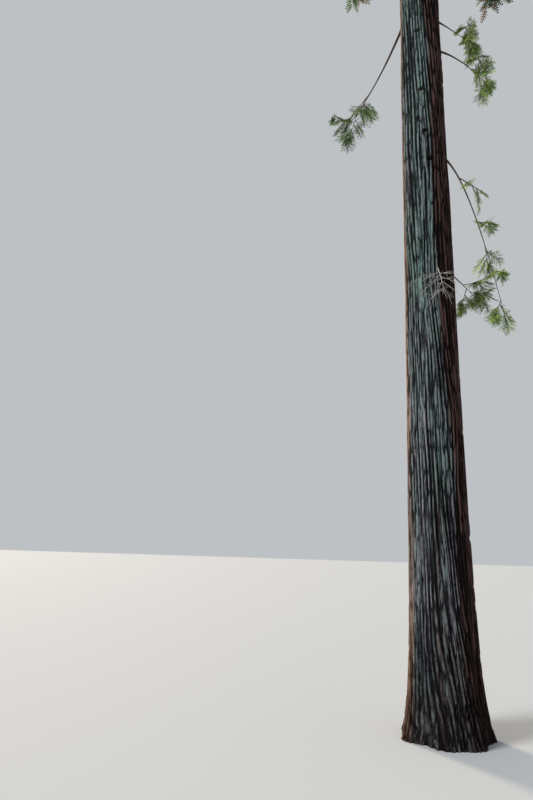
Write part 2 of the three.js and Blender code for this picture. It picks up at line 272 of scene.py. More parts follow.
# The low limb that forks, and the place, size and lean of its outer arm.
FORKED_LIMB = 3
ARM_SHARE = 0.24
ARM_LENGTH = 0.7
ARM_THICKNESS = 0.7
ARM_STEEPNESS = 1.0
# The dead limb's arm: its place, its length and the way it leans out and down.
DEAD_ARM_SHARE = 0.75
DEAD_ARM_LENGTH = 0.6
DEAD_ARM_OUT = 0.2
DEAD_ARM_DOWN = 0.6
# The dead twigs, and the finer ones that leave each of them.
DEAD_THICKNESS = 0.7
DEAD_DROOP = 0.12
FINE_TWIGS = 7
FINE_PLACES = (0.1, 1.0)
FINE_LENGTHS = (0.3, 0.85)
FINE_RADIUS = 0.0028
FINE_SCATTER = 0.75
FINE_LEAN = 0.2
FINE_DROOP = 0.3

# Branchlets: how many side twiglets one has, and how long, wide and far apart the
# needle sprays on them are.
CROWN_NEEDLES = dict(twiglets=19, length=0.26, width=0.155, spacing=0.056)
LEADER_NEEDLES = dict(twiglets=17, length=0.17, width=0.10, spacing=0.045)
LOW_NEEDLES = dict(twiglets=13, length=0.11, width=0.055, spacing=0.034)
HANG_VARIES = (0.03, 0.10)
SIDE_HANG = 1.6
CORE_LEAST = 0.5
NEEDLE_ROOM = 1.1
RIB_ROWS = 6
RIB_SIDES = 4
RIB_LEAST = 0.006
RIB_THICKNESS = 0.006
RIB_TIP = 0.002
RIB_GROWN = 0.8
WIGGLE = 0.012
WIGGLE_TURN = 9
WIGGLE_START = (0, 6)
TWIGLET_ROWS = 3
TWIGLET_SIDES = 3
TWIGLET_PLACES = (0.05, 0.93)
TWIGLET_STEPS = (0.2, 0.8)
TWIGLET_RUNS = (0.10, 0.20)
TWIGLET_LAST = 0.98
TWIGLET_REACH = (0.82, 1.06)
TWIGLET_BEND = 1.3
TWIGLET_THICKNESS = 0.35
TWIGLET_LEAST = 0.001
TWIGLET_TIP = 0.0012

# Needle sprays on a twiglet: where they start, how they turn and how much they vary.
FEWEST_FEATHERS = 2
FIRST_FEATHER = 0.12
FEATHER_TURNS = (0.45, 0.95)
END_TURN = 0.15
HEAD_SCATTER = 0.16
HEAD_DROOP = 0.12
SIDE_SCATTER = 0.38
FEATHER_LENGTHS = (0.75, 1.2)
FEATHER_WIDTHS = (0.85, 1.15)

# One needle spray, in shares of its length and width.
CROWN_FEATHER = dict(needles=5, wide=0.15)
LOW_FEATHER = dict(needles=9, wide=0.055)
QUILL_HALF = 0.04
QUILL_END = 0.86
FIRST_NEEDLE = 0.25
NEEDLE_STAGGER = 0.3
NEEDLE_FOOT = 0.02
NEEDLE_LEAN = 0.13
NEEDLE_SLANT = 0.4
NEEDLE_DIP = -0.05
OUTLINE_START = 0.18
OUTLINE_SHIFT = 0.6
OUTLINE_POWER = 0.55
OUTLINE_LEAST = 0.35
END_NEEDLE = [(0.8, -0.07, 0), (0.8, 0.07, 0), (1, 0, -0.02)]

# Seeds of the scene's own draws, and of the bumps on the limbs.
CROWN_DRAWS = 7
LEADER_DRAWS = 8
LOW_DRAWS = 9
DEAD_DRAWS = 10
LEADER_BUMP_SEED = 5
LOW_BUMP_SEED = 40
DEAD_BUMP_SEED = 60

# Smooth noise: numbers that scramble the points of its lattice, and a shift past zero.
SCRAMBLE_STEPS = (73856093, 19349663, 83492791, 2654435761)
SCRAMBLE_TERMS = (15731, 789221, 1376312589)
SCRAMBLE_SHIFT = 13
SCRAMBLE_MASK = 0x7FFFFFFF
SCRAMBLE_HALF = 0x3FFFFFFF
NOISE_SHIFT = 50

# Colours of the bark, each at its level from the furrows to the crests. The near-black furrow
# colours are the bark's own darker furrows with painted shade on top.
BARK_LEVELS = (0.05, 0.35, 0.65, 1.0)
NOISE_LEVELS = (0.3, 0.7)
WOOD_COLOURS = [
    (0.002, 0.001, 0.001),
    (0.006, 0.003, 0.003),
    (0.023, 0.013, 0.012),
    (0.082, 0.048, 0.043),
]
PAINTED_SUN_COLOURS = [
    (0.005, 0.003, 0.002),
    (0.026, 0.013, 0.009),
    (0.118, 0.070, 0.046),
    (0.345, 0.230, 0.160),
]
GREEN_LICHEN_COLOURS = [
    (0.002, 0.004, 0.004),
    (0.012, 0.020, 0.019),
    (0.047, 0.083, 0.080),
    (0.136, 0.215, 0.203),
]
GREY_LICHEN_COLOURS = [
    (0.004, 0.003, 0.005),
    (0.016, 0.017, 0.021),
    (0.065, 0.073, 0.086),
    (0.182, 0.198, 0.222),
]
STREAK_COLOURS = [(0.74, 0.71, 0.72), (1.13, 1.12, 1.13)]
BARK_ROUGHNESS = 0.95
BARK_SPECULAR = 0.12
BARK_BUMP = 0.02
FLAKE_BUMP = 0.6

# Textures of the bark: how they are stretched, and the factor and shift they count with.
FIBRES = dict(stretch=(46, 46, 3.2), detail=6, roughness=0.7)
FIBRE_LEVEL = (1.3, -0.65)
FLAKES = dict(stretch=(30, 30, 9), detail=4, roughness=0.7)
FLAKE_LEVEL = (0.8, -0.4)
FLAKE_COVER = (3.0, -0.6)
STREAKS = dict(stretch=(9, 9, 0.45), detail=3, roughness=0.6)
HUES = dict(stretch=(5, 5, 0.6), detail=3, roughness=0.6)
HUE_LEVEL = (3.2, -1.6)

# Bark of the limbs and dead wood: a dark and a light colour, mixed by grain and patches.
LIMB_COLOURS = [(0.018, 0.012, 0.009), (0.085, 0.060, 0.045)]
DEAD_COLOURS = [(0.24, 0.225, 0.205), (0.54, 0.52, 0.48)]
LIMB_ROUGHNESS = 0.9
LIMB_BUMP = 0.006
GRAIN = dict(stretch=(28, 28, 28), detail=4, roughness=0.6)
GRAIN_SHARE = 0.6
PATCHES = dict(stretch=(5, 5, 5), detail=3, roughness=0.6)
PATCHES_SHARE = 0.4

# Colours of the needles, and the lots of them that the sprays draw from. The darkest green is
# painted shade and the yellow-green is painted backlight; of the low boughs' two sets of lots, one
# is painted shade and the other painted backlight.
NEEDLE_COLOURS = [
    ("needles_shade", (0.030, 0.065, 0.022)),
    ("needles_deep", (0.052, 0.110, 0.030)),
    ("needles_mid", (0.095, 0.175, 0.038)),
    ("needles_bright", (0.185, 0.285, 0.055)),
    ("needles_backlit", (0.330, 0.400, 0.080)),
    ("needles_painted_sun", (0.215, 0.130, 0.060)),
]
CROWN_LOTS = [0, 1, 1, 1, 2, 2, 2, 3, 1, 2, 3, 5]
SHADED_LOTS = [0, 1, 1, 2, 2, 3]
BACKLIT_LOTS = [1, 2, 2, 3, 3, 4, 4]
NEEDLE_ROUGHNESS = 0.8
NEEDLE_SPECULAR = 0.2

# Places of sockets that share their names with others, and where a ramp's new stop starts.
COLOUR_A = 6
COLOUR_B = 7
MIXED_COLOUR = 2
STOP_START = 0.5
BUMP_STRENGTH = 0.8

# Floor, sky and light. Each sun has the way its light runs and its width in degrees.
FLOOR_REACH = 160
FLOOR_COLOUR = (0.40, 0.42, 0.44)
FLOOR_ROUGHNESS = 0.95
SKY_COLOUR = (0.86, 0.89, 0.92)
SKY_STRENGTH = 0.6
SUNS = [
    dict(name="key", towards=(0.85, 0.42, -0.7), energy=3.2, angle=20, colour=(1.0, 0.97, 0.92)),
    dict(name="rim", towards=(0.47, -0.88, -0.4), energy=3.4, angle=10, colour=(1.0, 0.84, 0.66)),
]

# Camera of the photo: place, tilt up and roll, and lens in millimetres.
CAMERA_PLACE = (-2.821, -9.821, 2.653)
CAMERA_PITCH = math.radians(13.863)
CAMERA_ROLL = math.radians(1.780)
CAMERA_LENS = 27.0
CAMERA_SENSOR = 36.0
CAMERA_RANGE = 500

UP = np.array([0.0, 0.0, 1.0])
UPRIGHT = 0.05


def chance(i, k):
    """The same number from 0 to 1 for the same pair of numbers."""
    wave = math.sin(i * DRAW_STEPS[0] + k * DRAW_STEPS[1] + DRAW_STEPS[2]) * DRAW_SPREAD
    return wave - math.floor(wave)


def between(low, high, share):
    return low + (high - low) * share


def nearest(value):
    """The nearest whole number."""
    return math.floor(value + 0.5)


def varied(pair, i, k):
    return between(pair[0], pair[1], chance(i, k))


def unit(v):
    return v / np.linalg.norm(v, axis=-1, keepdims=True)


def sideways(heading):
    """A level direction across a heading, or along +X where the heading is upright."""
    across = np.cross(heading, UP)
    size = np.linalg.norm(across)
    return across / size if size > UPRIGHT else np.array([1.0, 0.0, 0.0])


def turned(v, axis, angle):
    """A vector turned about a unit axis."""
    cos, sin = math.cos(angle), math.sin(angle)
    return v * cos + np.cross(axis, v) * sin + axis * (axis @ v) * (1 - cos)


def leaning(heading, lean, roll):
    """The heading that leaves another one by a lean, at a roll about it."""
    side = turned(sideways(heading), heading, roll)
    return heading * math.cos(lean) + side * math.sin(lean)


def trunk_radius(angle, z):
    t = z / HEIGHT
    shaft = SHAFT_DIAMETER * (1 - t) ** (TAPER_LOW + TAPER_GAIN * t * t)
    swell = BUTT_SWELL * np.exp(-z / BUTT_HEIGHT)
    flare = ROOT_FLARE * np.exp(-z / FLARE_HEIGHT)
    depth = FLUTE_REST + FLUTE_DEPTH * np.exp(-z / FLUTE_HEIGHT)
    flute = np.cos(FLUTES * angle + FLUTE_TURN)
    lobe = LOBE_SHARE * np.cos(LOBES * angle + LOBE_TURN)
    return (shaft + swell + flare) / 2 * (1 + depth * (flute + lobe))


def crown_reach(z):
    t = (z - CROWN_BASE) / (HEIGHT - CROWN_BASE)
    foot = between(CROWN_FOOT, 1, min(1, t / FOOT_HEIGHT))
    return CROWN_RADIUS * (1 - t) ** CROWN_POINT * foot


class Limb:
    """Runs out along its angle, rising and then falling away towards its tip."""

    def __init__(self, height, angle, length, rise, fall, storey, sector, bare, stem_end, spread):
        self.height, self.angle, self.length = height, angle, length
        self.rise, self.fall, self.storey, self.sector = rise, fall, storey, sector
        self.bare, self.stem_end, self.spread = bare, stem_end, spread
        self.out = np.array([math.cos(angle), math.sin(angle), 0.0])
        wall = float(trunk_radius(angle, height))
        self.start = wall * ROOT_DEPTH
        self.clear = (wall - self.start + TRUNK_MARGIN) / length
        self.thickness = LIMB_THICKNESS * length + LIMB_LEAST

    def lift(self, u):
        return self.rise * u - self.fall * u * u / self.length

    def at(self, share):
        u = share * self.length
        slope = self.rise - 2 * self.fall * u / self.length
        point = self.out * (self.start + u) + UP * (self.height + self.lift(u))
        return point, unit(self.out + UP * slope)

    def radius(self, share):
        collar = 1 + COLLAR_SWELL * math.exp(-share / COLLAR_LENGTH)
        return self.thickness * collar * between(1, LIMB_TIP, share)

    def roll(self, j, share):
        tilt = between(TILT_DOWN, TILT_UP, share)
        return math.pi - tilt if j % 2 else tilt

    def holds(self, points):
        """True where all points lie in the sector and storey that the foliage keeps to."""
        r = np.hypot(points[:, 0], points[:, 1])
        ahead = points[:, 0] * self.out[0] + points[:, 1] * self.out[1]
        turn = np.arctan2(points[:, 1] * self.out[0] - points[:, 0] * self.out[1], ahead)
        aside = r * (self.sector - np.abs(turn))
        away = np.abs(points[:, 2] - self.height - self.lift(r - self.start))
        clear = trunk_radius(self.angle + turn, points[:, 2]) + TRUNK_MARGIN
        top = between(TRUNK_TOP, HEIGHT, LEADER_FOOT) - SPACE_MARGIN
        held = (r > clear) & (r < self.start + self.length) & (points[:, 2] < top)
        return bool(np.all(held & (aside > SPACE_MARGIN) & (away < self.storey - SPACE_MARGIN)))


class Leader:
    """The last of the crown, which stands on the trunk's cut tip."""

    def __init__(self):
        self.foot = TRUNK_TOP
        self.length = HEIGHT - self.foot
        self.bare = 0
        self.clear = LEADER_FOOT
        self.stem_end = STEM_END
        self.spread = 1
        self.thickness = float(trunk_radius(0, TRUNK_TOP))

    def at(self, share):
        return UP * (self.foot + share * self.length), UP.copy()

    def radius(self, share):
        return self.thickness * between(1, LEADER_TIP, share)

    def roll(self, j, share):
        return j * GOLDEN_ANGLE

    def holds(self, points):
        level = (points[:, 2] - TRUNK_TOP) / (HEIGHT - TRUNK_TOP)
        near = np.hypot(points[:, 0], points[:, 1]) < LEADER_REACH * (LEADER_POINT - level)
        return bool(np.all(near & (level > LEADER_FOOT) & (points[:, 2] <= HEIGHT)))


def crown_height(i):
    share = 1 - (1 - i / (CROWN_LIMBS - 1)) ** CROWN_CROWDING
    return between(CROWN_BASE, CROWN_LAST, share)


def crown_limb(i):
    """A crown limb is longer, more level and more bent down the lower it stands."""
    height = crown_height(i)
    t = (height - CROWN_BASE) / (HEIGHT - CROWN_BASE)
    lowest = min(i, CROWN_LIMBS - 1 - STOREY_STEPS)
    return Limb(
        height=height,
        angle=i * GOLDEN_ANGLE,
        length=crown_reach(height) * varied(LIMB_VARIES, i, LENGTH_DRAW),
        rise=between(RISE_LOW, RISE_HIGH, t**RISE_BEND),
        fall=between(FALL_LOW, FALL_HIGH, t),
        storey=STOREY_SHARE * (crown_height(lowest + STOREY_STEPS) - crown_height(lowest)),
        sector=SECTOR,
        bare=BARE_SHARE if i < BOUGH_LIMBS else 0,
        stem_end=STEM_END,
        spread=1,
    )


def low_limb(sizes, sector, bare, spread):
    kept = dict(sizes, angle=math.radians(sizes["angle"]))
    return Limb(**kept, sector=sector, bare=bare, stem_end=LOW_STEM_END, spread=spread)


def fitting(limb, length, corners_at):
    """The longest of ever shorter lengths whose corners the limb's space holds, or 0."""
    tried = length
    while tried > SHORTEST * length:
        if limb.holds(corners_at(tried)):
            return tried
        tried *= SHRINK
    return 0


def blade_outline():
    """Outline of a toothed blade, as shares along and across it."""

    def one_side(side):
        points = []
        for k in range(2 * TEETH - 1):
            along = TOOTH_START + side * TOOTH_SHIFT + k / 2 * TOOTH_STEP
            across = (1 - along) / 2 + TOOTH_LEAST
            points.append((along, side * across * (NOTCH if k % 2 else 1)))
        return points

    return np.array([(0, 0), *one_side(1), (1, 0), *reversed(one_side(-1))])


BLADE = blade_outline()


def spray_corners(root, heading, aside, length):
    along = BLADE[:, :1] * length
    across = BLADE[:, 1:] * SPRAY_WIDTH * length
    return root + heading * along + aside * across


def twigs_of(limb, seed, count):
    """Twigs leave a limb's stem by turns and get shorter towards its end."""
    first = max(limb.bare, limb.clear)
    twigs = []
    for j in range(count):
        progress = (j + 0.5) / count
        share = between(first, limb.stem_end, between(FIRST_TWIG, LAST_TWIG, progress))
        root, heading = limb.at(share)
        tilt = (chance(seed, TILT_DRAW) + j * GOLDEN_SHARE) % 1
        out = leaning(heading, TWIG_LEAN, limb.roll(j, tilt))
        usual = limb.length * limb.spread * between(TWIG_LONG, TWIG_SHORT, progress)
        wanted = usual * varied(TWIG_VARIES, seed, TWIG_DRAW + j)
        length = fitting(limb, wanted, lambda tried: (root + out * tried)[None])
        if length:
            radius = limb.radius(share) * TWIG_SHARE + TWIG_LEAST
            twigs.append(dict(root=root, out=out, length=length, radius=radius))
    return twigs


def fitted_spray(limb, root, out, seed, k, size):
    """A spray that heads out from its root and hangs a little, or none where it has no room."""
    heading = unit(out - UP * SPRAY_DROOP)
    roll = between(-SPRAY_ROLL, SPRAY_ROLL, chance(seed, k))
    aside = turned(sideways(heading), heading, roll)
    wanted = size * varied(SPRAY_VARIES, seed, k + 0.5)
    length = fitting(limb, wanted, lambda tried: spray_corners(root, heading, aside, tried))
    return [dict(root=root, heading=heading, aside=aside, length=length)] if length else []


def sprays_of(limb, twig, seed, size):
    """One spray leaves each twig at its side, and another one carries it on."""
    side = leaning(twig["out"], SPRAY_LEAN, math.pi if seed % 2 else 0)
    middle = twig["root"] + twig["out"] * twig["length"] * SIDE_SPRAY
    last = twig["root"] + twig["out"] * twig["length"] * LAST_SPRAY
    return [
        *fitted_spray(limb, middle, side, seed, 0, size),
        *fitted_spray(limb, last, twig["out"], seed, 1, size),
    ]


def mass_of(limb, seed, count, size):
    """The twigs and sprays of one limb."""
    twigs = twigs_of(limb, seed, count)
    sprays = []
    if size:
        end, heading = limb.at(END_SPRAY * limb.stem_end)
        sprays += fitted_spray(limb, end, heading, SEED_STEP * seed + END_DRAW, 0, size)
        for j, twig in enumerate(twigs):
            sprays += sprays_of(limb, twig, SEED_STEP * seed + TWIG_STEP * j, size)
    return twigs, sprays


def further_mass(limb, seed, count, size):
    """Further twigs of the same rule, where they have room for a spray."""
    twigs, sprays = [], []
    for j, twig in enumerate(twigs_of(limb, seed, count)):
        borne = sprays_of(limb, twig, SEED_STEP * seed + TWIG_STEP * j, size)
        if borne:
            twigs.append(twig)
            sprays += borne
    return twigs, sprays


def further_sprays(limb, twigs, seed, size):
    """Sprays between those of the part's source, by the same rule and in the same space."""
    sprays = []
    for j, twig in enumerate(twigs):
        for k, share in enumerate(FURTHER_SHARES):
            root = twig["root"] + twig["out"] * twig["length"] * share
            side = leaning(twig["out"], SPRAY_LEAN, k * GOLDEN_ANGLE)
            draw = FURTHER_DRAW + k
            sprays += fitted_spray(limb, root, side, SEED_STEP * seed + TWIG_STEP * j, draw, size)
    return sprays


def rounded_step(t):
    return t * t * (3 - 2 * t)


def smooth(low, high, value):
    """Runs from 0 at the low value to 1 at the high one, level at both ends."""
    return rounded_step(np.clip((value - low) / (high - low), 0, 1))


def lattice(ix, iy, iz, seed):
    """A random number from -1 to 1 for each point of the lattice."""
    x_step, y_step, z_step, seed_step = SCRAMBLE_STEPS
    cube, square, rest = SCRAMBLE_TERMS
    n = (ix * x_step ^ iy * y_step ^ iz * z_step ^ seed * seed_step) & SCRAMBLE_MASK
    n = (n ^ (n >> SCRAMBLE_SHIFT)) & SCRAMBLE_MASK
    n = (n * (n * n * cube + square) + rest) & SCRAMBLE_MASK
    return n / SCRAMBLE_HALF - 1.0


def noise(x, y, z, seed):
    """Smooth noise, from -1 to 1."""
    places = [value + NOISE_SHIFT for value in (x, y, z)]
    floors = [np.floor(place) for place in places]
    shares = [rounded_step(place - floor) for place, floor in zip(places, floors)]
    total = 0.0
    for corner in np.ndindex(2, 2, 2):
        weight = 1
        for step, share in zip(corner, shares):
            weight = weight * (share if step else 1 - share)
        cell = [floor.astype(np.int64) + step for floor, step in zip(floors, corner)]
        total = total + weight * lattice(*cell, seed)
    return total


def ring_noise(angle, z, cells, length, seed):
    """Noise on the trunk with a number of cells round it, each of a length up it."""
    reach = cells / (2 * math.pi)
    return noise(np.cos(angle) * reach, np.sin(angle) * reach, z / length, seed)


def surface_noise(angle, z, width, length, seed):
    """Noise on the trunk whose cells keep the same width at any girth."""
    radius = trunk_radius(angle, z) / width
    return noise(radius * np.cos(angle), radius * np.sin(angle), z / length, seed)


def knot_field(angle, z):
    """How near each place is to a knot, from 0 to 1."""
    field = np.zeros_like(angle)
    for degrees, height, size in KNOTS:
        turn = (angle - math.radians(degrees) + math.pi) % (2 * math.pi) - math.pi
        across = turn * float(trunk_radius(math.radians(degrees), height))
        above = (z - height) / KNOT_HEIGHT
        field = np.maximum(field, np.exp(-(across**2 + above**2) / size**2))
    return field


def ridge_wave(angle, z):
    """Ridges up the trunk, fewer of them higher up: 1 on a crest and -1 in a furrow."""
    changes = (-math.inf, *RIDGE_CHANGES, math.inf)
    wave = 0
    for count, low, high in zip(RIDGE_COUNTS, changes, changes[1:]):
        begun = 1 if low == -math.inf else smooth(-RIDGE_MIX, RIDGE_MIX, z - low)
        ended = 1 if high == math.inf else smooth(-RIDGE_MIX, RIDGE_MIX, high - z)
        wave = wave + begun * ended * np.cos(count * angle)
    return wave


def bark_field(angle, z):
    """Height of the bark, from 0 in the deepest furrow to 1 on the crests."""
    broad = BROAD_SWAY * ring_noise(angle, z, **BROAD_CELLS)
    fine = FINE_SWAY * ring_noise(angle, z, **FINE_CELLS)
    turn = angle + RIDGE_TURN * (1 - np.exp(-z / RIDGE_TURN_HEIGHT)) + (broad + fine)
    cut = CUT_SHARE * surface_noise(turn, z, **CUT_CELLS)
    split = SPLIT_SHARE * surface_noise(turn, z, **SPLIT_CELLS)
    strand = np.abs(surface_noise(turn, z, **STRAND_CELLS))
    ridge = smooth(FURROW_LEVEL, CREST_LEVEL, WAVE_SHARE * ridge_wave(turn, z) + cut + split)
    return ridge * between(STRAND_LEAST, 1, smooth(0, STRAND_FULL, strand))


def lichen_field(angle, z):
    """How much lichen covers each place, from 0 to 1."""
    ragged = LICHEN_RAGGED * ring_noise(angle, z, **LICHEN_CELLS)
    bare = smooth(*reversed(STRIP_HEIGHTS), z)
    first = between(LICHEN_START, LICHEN_FOOT_START, bare)
    last = between(LICHEN_END, LICHEN_LOW_END, smooth(*reversed(LICHEN_LOW_HEIGHTS), z))
    start = smooth(-LICHEN_EDGE, LICHEN_EDGE, angle + ragged - first)
    end = smooth(-LICHEN_EDGE, LICHEN_EDGE, last - angle + ragged)
    thin = THIN_SHARE * smooth(-LICHEN_EDGE, LICHEN_EDGE, angle + ragged - THIN_START)
    near = (angle + ragged - STRIP_ANGLE) / STRIP_WIDTH
    strip = STRIP_SHARE * np.exp(-(near**2))
    patches = PATCH_SHARE * smooth(*PATCH_LEVELS, ring_noise(angle, z, **PATCH_CELLS))
    foot = smooth(*LICHEN_FOOT, z + FOOT_RAGGED * ragged)
    return np.clip(np.maximum(start * end * (1 - (thin + strip) * bare), patches) * foot, 0, 1)


def grey_field(z):
    """How grey the lichen is at each height, from 0 to 1."""
    return between(GREY_HIGH, GREY_LOW, smooth(*reversed(LICHEN_LOW_HEIGHTS), z))


def painted_sun_field(angle, z):
    """How much painted sunlight each place has, from 0 to 1."""
    ragged = PAINTED_SUN_RAGGED * ring_noise(angle, z, **PAINTED_SUN_CELLS)
    turn = (angle + ragged - PAINTED_SUN_MIDDLE + math.pi) % (2 * math.pi) - math.pi
    return np.exp(-((turn / PAINTED_SUN_SPREAD) ** PAINTED_SUN_SHARPNESS))


def trunk_grid():
    fine = np.arange(0, FINE_HEIGHT, ROW_LOW)
    coarse = np.arange(FINE_HEIGHT, TRUNK_TOP, ROW_HIGH)
    heights = np.append(np.concatenate([fine, coarse]), TRUNK_TOP)
    angles = np.linspace(0, 2 * math.pi, TRUNK_COLUMNS, endpoint=False)
    return np.meshgrid(angles, heights)


def grid_normals(points):
    """Normals of a grid that is closed round its columns."""
    across = np.roll(points, -1, axis=1) - np.roll(points, 1, axis=1)
    along = np.gradient(points, axis=0)
    return unit(np.cross(across, along))


def new_object(name, data):
    made = bpy.data.objects.new(name, data)
    bpy.context.scene.collection.objects.link(made)
    return made


def array_mesh(name, points, corners, sides, material):
    """A mesh object of faces that all have the same number of sides."""
    mesh = bpy.data.meshes.new(name)
    mesh.vertices.add(len(points))
    mesh.vertices.foreach_set("co", np.ascontiguousarray(points, dtype=np.float32).ravel())
    count = len(corners) // sides
    mesh.loops.add(len(corners))
    mesh.loops.foreach_set("vertex_index", np.ascontiguousarray(corners, dtype=np.int32))
    mesh.polygons.add(count)
    mesh.polygons.foreach_set("loop_start", np.arange(0, count * sides, sides, dtype=np.int32))
    mesh.update(calc_edges=True)
    mesh.validate()
    mesh.materials.append(material)
    made = new_object(name, mesh)
    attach(made, "root")
    return made


def float_attribute(made, name, values):
    attribute = made.data.attributes.new(name, "FLOAT", "POINT")
    attribute.data.foreach_set("value", np.ascontiguousarray(values, dtype=np.float32))


def ring_quads(rows, columns):
    """Corners of the quads of a grid that is closed round its columns."""
    row = np.arange(rows - 1)[:, None] * columns
    column = np.arange(columns)[None]
    after = (column + 1) % columns
    above = row + columns
    corners = np.broadcast_arrays(row + column, row + after, above + after, above + column)
    return np.stack(corners, axis=-1).reshape(-1, 4)


def bark_radius(angle, z, knots, crest, young):
    """The trunk's radius with the bark's relief, its lumps and its knots."""
    taper = np.clip((HEIGHT - z) / RELIEF_TAPER, RELIEF_LEAST, 1) * (1 - young)
    depth = (RELIEF_DEPTH + RELIEF_BASE * np.exp(-z / RELIEF_FADE)) * taper
    relief = depth * (crest - RELIEF_MIDDLE)
    lumps = LUMP_HEIGHT * ring_noise(angle, z, **LUMP_CELLS) * (1 - young)
    rim = KNOT_RIM * np.exp(-(((knots - KNOT_RIM_LEVEL) / KNOT_RIM_WIDTH) ** 2))
    return trunk_radius(angle, z) + relief + lumps + rim - KNOT_DEPTH * knots**2


def bark_fields(angle, z, knots, crest, young):
    """What the bark's material reads at each place."""
    knot_shade = 1 - KNOT_DARKNESS * smooth(*KNOT_DARK_LEVELS, knots)
    foot_shade = between(SHADE_LEAST, 1, smooth(0, SHADE_HEIGHT, z))
    return dict(
        # The crest that the colours read also carries the painted shade of the knots and of the
        # foot.
        crest=crest * knot_shade * foot_shade,
        lichen=lichen_field(angle, z) * (1 - knots) * (1 - young),
        grey=grey_field(z),
        painted_sun=painted_sun_field(angle, z),
        young=young,
    )


def build_trunk(material):
    """The trunk's bark in sections, which meet without a seam."""
    angle, z = trunk_grid()
    knots = knot_field(angle, z)
    crest = bark_field(angle, z)
    young = smooth(YOUNG_START, TRUNK_TOP, z)
    radius = bark_radius(angle, z, knots, crest, young)
    points = np.stack([radius * np.cos(angle), radius * np.sin(angle), z], axis=-1)
    normals = grid_normals(points)
    fields = bark_fields(angle, z, knots, crest, young)
    rows = [0, *(int(np.searchsorted(z[:, 0], h)) for h in SECTION_HEIGHTS), len(z) - 1]
    for number, (low, high) in enumerate(zip(rows, rows[1:])):
        part = slice(low, high + 1)
        name = f"trunk_bark_{number + 1}"
        quads = ring_quads(high - low + 1, TRUNK_COLUMNS).ravel()
        made = array_mesh(name, points[part].reshape(-1, 3), quads, 4, material)
        for field, values in fields.items():
            float_attribute(made, field, values[part].ravel())
        made.data.normals_split_custom_set_from_vertices(normals[part].reshape(-1, 3))
        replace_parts(made, "trunk")


def tube_rings(points, radii, sides, bumps, seed):
    """Rings of points round a line, with bumps where they are asked for."""
    points = np.asarray(points, dtype=float)
    heading = unit(np.gradient(points, axis=0))
    side = np.cross(heading, UP)
    level = np.linalg.norm(side, axis=1, keepdims=True)
    side = np.where(level > UPRIGHT, side / np.maximum(level, UPRIGHT), np.array([1.0, 0, 0]))
    over = np.cross(side, heading)
    turn = np.linspace(0, 2 * math.pi, sides, endpoint=False)
    r = np.asarray(radii)[:, None] * np.ones(sides)
    if bumps:
        steps = np.linalg.norm(np.diff(points, axis=0), axis=1)
        length = np.concatenate([[0], np.cumsum(steps)])
        grid_turn, grid_length = np.meshgrid(turn, length)
        r = r * (1 + bumps * ring_noise(grid_turn, grid_length, **BUMP_CELLS, seed=seed))
    aside = side[:, None] * (r * np.cos(turn))[..., None]
    above = over[:, None] * (r * np.sin(turn))[..., None]
    return points[:, None] + aside + above


class Tubes:
    """Collects tubes into one mesh."""

    def __init__(self):
        self.points, self.faces, self.count = [], [], 0

    def add(self, points, radii, sides, bumps=0.0, seed=0):
        rings = tube_rings(points, radii, sides, bumps, seed)
        self.points.append(rings.reshape(-1, 3))
        self.faces.append(ring_quads(len(rings), sides) + self.count)
        self.count += len(rings) * sides

    def build(self, name, material, slot):
        points, faces = np.concatenate(self.points), np.concatenate(self.faces)
        made = array_mesh(name, points, faces.ravel(), 4, material)
        made.data.shade_smooth()
        return made


def needle_corners(side, k, needles, wide):
    """Corners (along, across, lift) of one needle of a spray."""
    start = FIRST_NEEDLE + (NEEDLE_STAGGER if side > 0 else 0)
    along = (k + start) / needles * QUILL_END
    outline = between(OUTLINE_START, 1, (k + OUTLINE_SHIFT) / needles)
    reach = max(math.sin(math.pi * outline) ** OUTLINE_POWER, OUTLINE_LEAST)
    tip = along + NEEDLE_LEAN + NEEDLE_SLANT * wide
    return [
        (along, side * NEEDLE_FOOT, 0),
        (along + wide, side * NEEDLE_FOOT, 0),
        (tip, side * reach / 2, NEEDLE_DIP),
    ]


def feather_template(needles, wide):
    """Points (along, across, lift) and triangles of one needle spray."""
    points = [(0, -QUILL_HALF, 0), (0, QUILL_HALF, 0), (QUILL_END, 0, 0)]
    faces = [(0, 1, 2)]
    for side in (-1, 1):
        for k in range(needles):
            n = len(points)
            points += needle_corners(side, k, needles, wide)
            faces.append((n, n + 1, n + 2) if side > 0 else (n, n + 2, n + 1))
    n = len(points)
    faces.append((n, n + 1, n + 2))
    return np.array([*points, *END_NEEDLE], dtype=float), np.array(faces)


class Feathers:
    """Collects needle sprays, dealt out to lots of colour."""

    def __init__(self, template, lots):
        self.template, self.triangles = template
        self.lots = [[] for _ in range(lots)]

    def add(self, lot, roots, heads, sides, lengths, widths):
        lift = np.cross(heads, sides)
        self.lots[lot].append((roots, heads, sides, lift, lengths, widths))

    def build(self, lot, name, material):
        columns = [np.concatenate(c) for c in zip(*self.lots[lot])]
        roots, heads, sides, lift, lengths, widths = columns
        t = self.template
        along = t[None, :, 0, None] * lengths[:, None, None]
        across = t[None, :, 1, None] * widths[:, None, None]
        up = t[None, :, 2, None] * lengths[:, None, None]
        flat = roots[:, None] + heads[:, None] * along + sides[:, None] * across
        points = flat + lift[:, None] * up
        step = np.arange(len(roots))[:, None, None] * len(t)
        corners = (self.triangles[None] + step).ravel()
        return array_mesh(name, points.reshape(-1, 3), corners, 3, material)


def blade_half_width(t):
    """Half of the spray's width at a share along it, as a share of its length."""
    grown = np.minimum(t / TOOTH_START, 1)
    across = (1 - np.maximum(t, TOOTH_START)) / 2 + TOOTH_LEAST
    return SPRAY_WIDTH * across * grown


